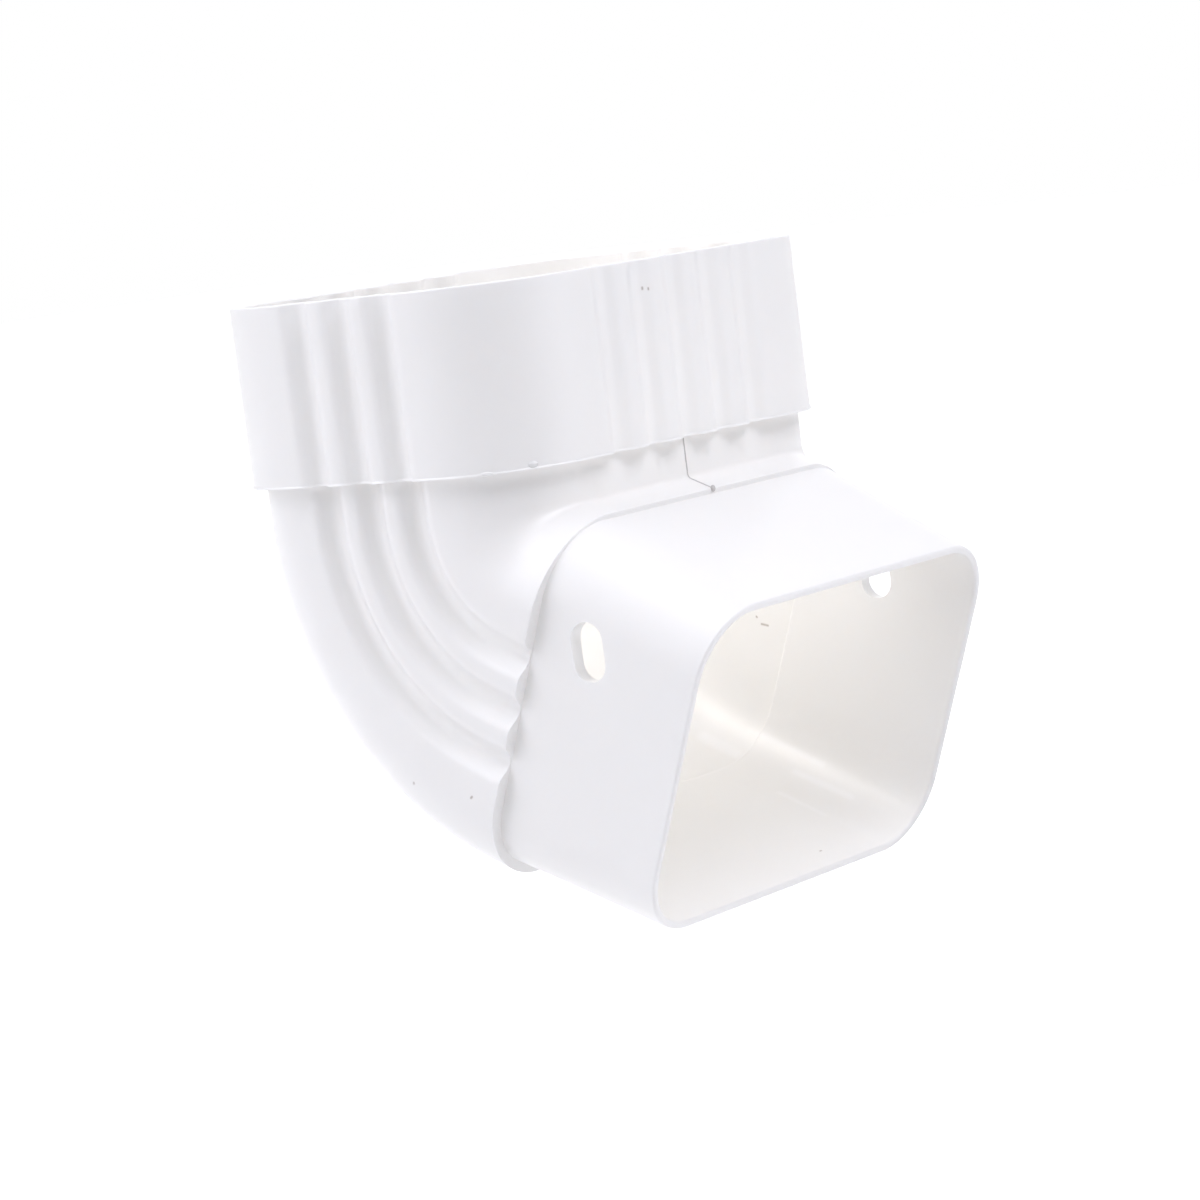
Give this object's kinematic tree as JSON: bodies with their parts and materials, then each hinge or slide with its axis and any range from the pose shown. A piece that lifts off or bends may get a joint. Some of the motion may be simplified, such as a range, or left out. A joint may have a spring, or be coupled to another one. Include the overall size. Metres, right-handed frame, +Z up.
{
  "type": "downspout elbow",
  "caption": "White vinyl rainwater elbow: a fluted rectangular socket turns through a tight throat into a plain tapered spigot with a screw slot in each side wall.",
  "frame": {"origin": "centre of the socket's mouth, in the plane of the collar's rim", "axes": "+Z up along the inlet, against the flow; -Y to the front, where the outlet leaves; X across the wide faces"},
  "size_m": [0.0866, 0.0931, 0.1014],
  "materials": {
    "vinyl": "satin white rigid vinyl, as moulded"
  },
  "bodies": {
    "root": {"downspout_elbow": "vinyl"}
  },
  "joints": []
}
